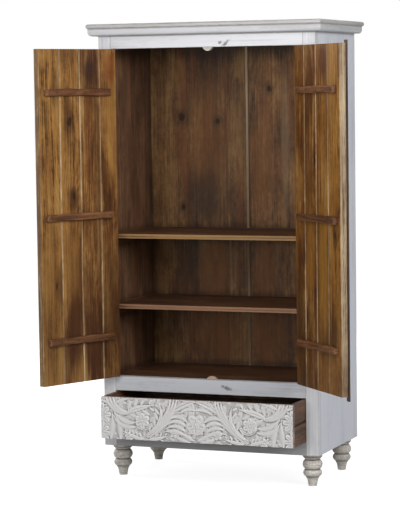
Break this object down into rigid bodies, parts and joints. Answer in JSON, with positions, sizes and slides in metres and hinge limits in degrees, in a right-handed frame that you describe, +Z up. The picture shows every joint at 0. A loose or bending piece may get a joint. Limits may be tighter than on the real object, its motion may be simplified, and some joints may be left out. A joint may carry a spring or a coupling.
{
  "type": "armoire",
  "caption": "Tall two-door wooden armoire with plank doors, shelves, one deep carved drawer and turned feet.",
  "frame": {"origin": "on the floor, at the centre of the rectangle that the carcass covers", "axes": "+X to the right as seen from the front, +Y to the back, +Z up; the doors face -Y"},
  "size_m": [1.2955, 0.9337, 1.9],
  "materials": {
    "whitewashed_wood": "matt, worn",
    "door_boards": "waxed",
    "brown_wood": "waxed",
    "hinge_steel": "aged"
  },
  "bodies": {
    "carcass": {"back_battens": "brown_wood", "back_panel_left": "brown_wood", "back_panel_right": "brown_wood", "base_panel": "brown_wood", "bottom_rail": "whitewashed_wood", "cabinet_floor": "brown_wood", "carcass_screws": "hinge_steel", "corner_blocks": "brown_wood", "cornice_front": "whitewashed_wood", "cornice_left": "whitewashed_wood", "cornice_right": "whitewashed_wood", "door_stop_bottom": "brown_wood", "door_stop_screws": "hinge_steel", "door_stop_top": "brown_wood", "drawer_runner_left": "brown_wood", "drawer_runner_right": "brown_wood", "drawer_spacer_left": "brown_wood", "drawer_spacer_right": "brown_wood", "foot_bolts": "hinge_steel", "foot_front_left": "whitewashed_wood", "foot_front_right": "whitewashed_wood", "foot_rear_left": "whitewashed_wood", "foot_rear_right": "whitewashed_wood", "frame_hinge_leaves": "hinge_steel", "frame_hinge_screws": "hinge_steel", "hinge_pins": "hinge_steel", "mid_rail": "whitewashed_wood", "shelf_cleats": "brown_wood", "shelf_lower": "brown_wood", "shelf_upper": "brown_wood", "side_panel_left": "whitewashed_wood", "side_panel_right": "whitewashed_wood", "stile_left": "whitewashed_wood", "stile_right": "whitewashed_wood", "top_rail": "whitewashed_wood", "top_slab": "whitewashed_wood"},
    "left_door": {"left_door_batten_bottom": "brown_wood", "left_door_batten_middle": "brown_wood", "left_door_batten_top": "brown_wood", "left_door_hinge_leaves": "hinge_steel", "left_door_plank_1": "door_boards", "left_door_plank_2": "door_boards", "left_door_plank_3": "door_boards", "left_door_plank_4": "door_boards", "left_door_screws": "hinge_steel"},
    "right_door": {"right_door_batten_bottom": "brown_wood", "right_door_batten_middle": "brown_wood", "right_door_batten_top": "brown_wood", "right_door_cover_strip": "whitewashed_wood", "right_door_hinge_leaves": "hinge_steel", "right_door_plank_1": "door_boards", "right_door_plank_2": "door_boards", "right_door_plank_3": "door_boards", "right_door_plank_4": "door_boards", "right_door_screws": "hinge_steel"},
    "drawer": {"drawer_front": "whitewashed_wood", "drawer_back": "brown_wood", "drawer_bottom": "brown_wood", "drawer_side_left": "brown_wood", "drawer_side_right": "brown_wood"}
  },
  "joints": [
    {"name": "left_door_hinge", "type": "hinge", "parent": "carcass", "child": "left_door", "pos_m": [-0.4205, -0.2665, 1.114], "axis": [0, 0, -1], "range_deg": [-113.7, 66.3]},
    {"name": "right_door_hinge", "type": "hinge", "parent": "carcass", "child": "right_door", "pos_m": [0.4205, -0.2665, 1.114], "axis": [0, 0, 1], "range_deg": [-133.4, 46.6]},
    {"name": "drawer_slide", "type": "slide", "parent": "carcass", "child": "drawer", "axis": [0, -1, 0], "range_m": [-0.1605, 0.16]}
  ]
}
